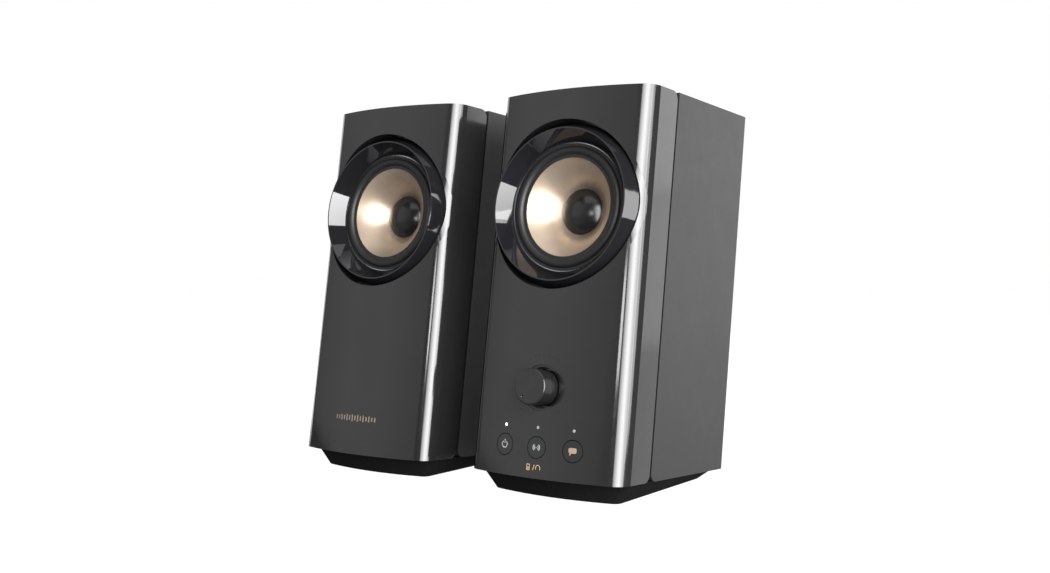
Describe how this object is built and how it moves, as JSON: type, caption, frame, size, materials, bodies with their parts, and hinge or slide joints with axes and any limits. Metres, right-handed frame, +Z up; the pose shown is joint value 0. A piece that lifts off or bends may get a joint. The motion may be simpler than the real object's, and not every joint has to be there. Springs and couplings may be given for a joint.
{
  "type": "desktop speaker pair",
  "caption": "Pair of leaning two-piece desktop speakers, each with one full-range cone in a deep gloss ring, on a plinth; volume knob and keys on the right one.",
  "frame": {"origin": "on the desk, midway between the two speakers and midway between the frontmost and rearmost points", "axes": "+X from the left speaker to the right one as seen from the front, +Y to the rear, +Z up; the fronts face -Y"},
  "size_m": [0.2076, 0.1429, 0.1993],
  "materials": {
    "front_plastic": "fine matte charcoal",
    "cabinet_plastic": "matte mid grey",
    "seal_rubber": "matte black",
    "rear_plastic": "matte dark grey, finely grained",
    "black_plastic": "satin black",
    "plinth_plastic": "matte charcoal",
    "foot_rubber": "matte black",
    "ring_gloss": "piano black",
    "basket_steel": "satin black",
    "surround_rubber": "satin black",
    "cone_paper": "metallised champagne",
    "cap_plastic": "satin charcoal",
    "coil_copper": "enamelled copper",
    "spider_cloth": "resin-treated cloth",
    "iron_plate": "zinc plated",
    "ferrite": "ground ferrite",
    "screw_steel": "zinc plated",
    "wire_red": "wire insulation",
    "light_clear": "clear light pipe",
    "board_green": "solder mask",
    "heatsink_aluminium": "extruded",
    "can_aluminium": "sleeved can"
  },
  "bodies": {
    "right_speaker": {"right_front_shell": "front_plastic", "right_cabinet": "cabinet_plastic", "right_seam_seal": "seal_rubber", "right_rear_panel": "rear_plastic", "right_port_tube": "black_plastic", "right_plinth": "plinth_plastic", "right_feet": "foot_rubber", "right_trim_ring": "ring_gloss", "right_basket": "basket_steel", "right_surround": "surround_rubber", "right_spider": "spider_cloth", "right_top_plate": "iron_plate", "right_magnet": "ferrite", "right_back_plate": "iron_plate", "right_driver_screws": "screw_steel", "right_case_screws": "screw_steel", "right_driver_leads": "wire_red", "knob_well": "ring_gloss", "potentiometer": "iron_plate", "potentiometer_nut": "screw_steel", "indicator_lights": "light_clear", "control_board": "board_green", "button_switches": "black_plastic", "amplifier_board": "board_green", "heatsink": "heatsink_aluminium", "capacitors": "can_aluminium", "power_inlet": "black_plastic", "audio_sockets": "black_plastic"},
    "left_speaker": {"left_front_shell": "front_plastic", "left_cabinet": "cabinet_plastic", "left_seam_seal": "seal_rubber", "left_rear_panel": "rear_plastic", "left_port_tube": "black_plastic", "left_plinth": "plinth_plastic", "left_feet": "foot_rubber", "left_trim_ring": "ring_gloss", "left_basket": "basket_steel", "left_surround": "surround_rubber", "left_spider": "spider_cloth", "left_top_plate": "iron_plate", "left_magnet": "ferrite", "left_back_plate": "iron_plate", "left_driver_screws": "screw_steel", "left_case_screws": "screw_steel", "left_driver_leads": "wire_red", "link_board": "board_green", "link_socket": "black_plastic"},
    "right_diaphragm": {"right_cone": "cone_paper", "right_dust_cap": "cap_plastic", "right_voice_coil": "coil_copper"},
    "left_diaphragm": {"left_cone": "cone_paper", "left_dust_cap": "cap_plastic", "left_voice_coil": "coil_copper"},
    "volume_control": {"volume_knob": "front_plastic", "knob_shaft": "screw_steel"},
    "power_key": {"power_button": "front_plastic"},
    "surround_key": {"surround_mode_button": "front_plastic"},
    "voice_key": {"voice_mode_button": "front_plastic"}
  },
  "joints": [
    {"name": "satellite_place", "type": "slide", "parent": "right_speaker", "child": "left_speaker", "axis": [1, 0, 0], "range_m": [-0.25, 0.02]},
    {"name": "volume_turn", "type": "hinge", "parent": "right_speaker", "child": "volume_control", "pos_m": [0.0591, -0.06113, 0.05412], "axis": [0, 0.989, -0.1478], "range_deg": [-10, 280]},
    {"name": "power_press", "type": "slide", "parent": "right_speaker", "child": "power_key", "axis": [0, 0.989, -0.1478], "range_m": [0, 0.0006], "stiffness_N_per_m": 1500},
    {"name": "surround_press", "type": "slide", "parent": "right_speaker", "child": "surround_key", "axis": [0, 0.989, -0.1478], "range_m": [0, 0.0006], "stiffness_N_per_m": 1500},
    {"name": "voice_press", "type": "slide", "parent": "right_speaker", "child": "voice_key", "axis": [0, 0.989, -0.1478], "range_m": [0, 0.0006], "stiffness_N_per_m": 1500},
    {"name": "right_cone_stroke", "type": "slide", "parent": "right_speaker", "child": "right_diaphragm", "axis": [0, -0.989, 0.1478], "range_m": [-0.0025, 0.0025], "stiffness_N_per_m": 1600, "deforming": ["right_surround", "right_spider"]},
    {"name": "left_cone_stroke", "type": "slide", "parent": "left_speaker", "child": "left_diaphragm", "axis": [0, -0.989, 0.1478], "range_m": [-0.0025, 0.0025], "stiffness_N_per_m": 1600, "deforming": ["left_surround", "left_spider"]}
  ]
}
